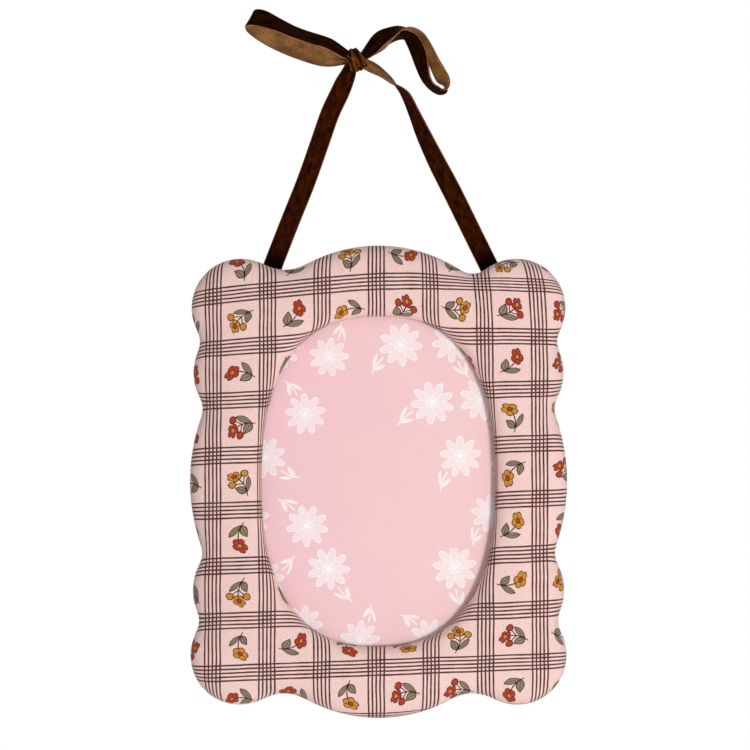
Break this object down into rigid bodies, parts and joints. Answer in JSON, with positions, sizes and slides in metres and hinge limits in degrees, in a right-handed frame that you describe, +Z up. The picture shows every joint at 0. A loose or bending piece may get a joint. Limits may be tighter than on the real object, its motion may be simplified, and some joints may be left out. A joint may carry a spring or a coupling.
{
  "type": "fabric photo frame",
  "caption": "Padded fabric photo frame with a scalloped edge and an oval window, hung by a velvet ribbon tied in a bow, with a lift-out back panel and an easel leg.",
  "frame": {"origin": "the point under the knot of the ribbon where a hook or nail carries the frame", "axes": "+Z up as it hangs, +X to the right seen from the front, -Y out of the front"},
  "size_m": [0.203, 0.026, 0.382],
  "materials": {
    "cotton": "printed check cotton",
    "wadding": "soft wadding",
    "lining": "plain woven",
    "board": "raw fibreboard",
    "card": "satin print",
    "backing": "grey board",
    "pane": "clear",
    "steel": "plated",
    "velvet": "velvet pile"
  },
  "bodies": {
    "frame": {"front_cover": "cotton", "front_padding": "wadding", "front_board": "board", "window_pane": "pane", "photo_insert": "card", "backing_card": "backing", "spacer_frame": "board", "back_board": "board", "back_cover": "lining", "back_panel": "board", "hinge_fixed_leaf": "steel", "hinge_pin": "steel", "panel_rivet_left": "steel", "panel_rivet_right": "steel", "turn_screw_top_left": "steel", "turn_screw_top_right": "steel", "turn_screw_bottom_left": "steel", "turn_screw_bottom_right": "steel", "ribbon_strand_left": "velvet", "ribbon_strand_right": "velvet", "bow_loop_left": "velvet", "bow_loop_right": "velvet", "bow_knot": "velvet"},
    "easel": {"easel_leg": "board", "hinge_moving_leaf": "steel", "leg_rivet_left": "steel", "leg_rivet_right": "steel"},
    "button_top_left": {"turn_button_top_left": "steel"},
    "button_top_right": {"turn_button_top_right": "steel"},
    "button_bottom_left": {"turn_button_bottom_left": "steel"},
    "button_bottom_right": {"turn_button_bottom_right": "steel"}
  },
  "joints": [
    {"name": "easel_hinge", "type": "hinge", "parent": "frame", "child": "easel", "pos_m": [0.0111, 0.00695, -0.1585], "axis": [1, 0, 0], "range_deg": [0, 30]},
    {"name": "turn_top_left", "type": "hinge", "parent": "frame", "child": "button_top_left", "pos_m": [-0.06655, 0.00565, -0.1625], "axis": [0, 1, 0], "continuous": true},
    {"name": "turn_top_right", "type": "hinge", "parent": "frame", "child": "button_top_right", "pos_m": [0.08875, 0.00565, -0.1625], "axis": [0, 1, 0], "continuous": true},
    {"name": "turn_bottom_left", "type": "hinge", "parent": "frame", "child": "button_bottom_left", "pos_m": [-0.06655, 0.00565, -0.2785], "axis": [0, 1, 0], "continuous": true},
    {"name": "turn_bottom_right", "type": "hinge", "parent": "frame", "child": "button_bottom_right", "pos_m": [0.08875, 0.00565, -0.2785], "axis": [0, 1, 0], "continuous": true}
  ]
}
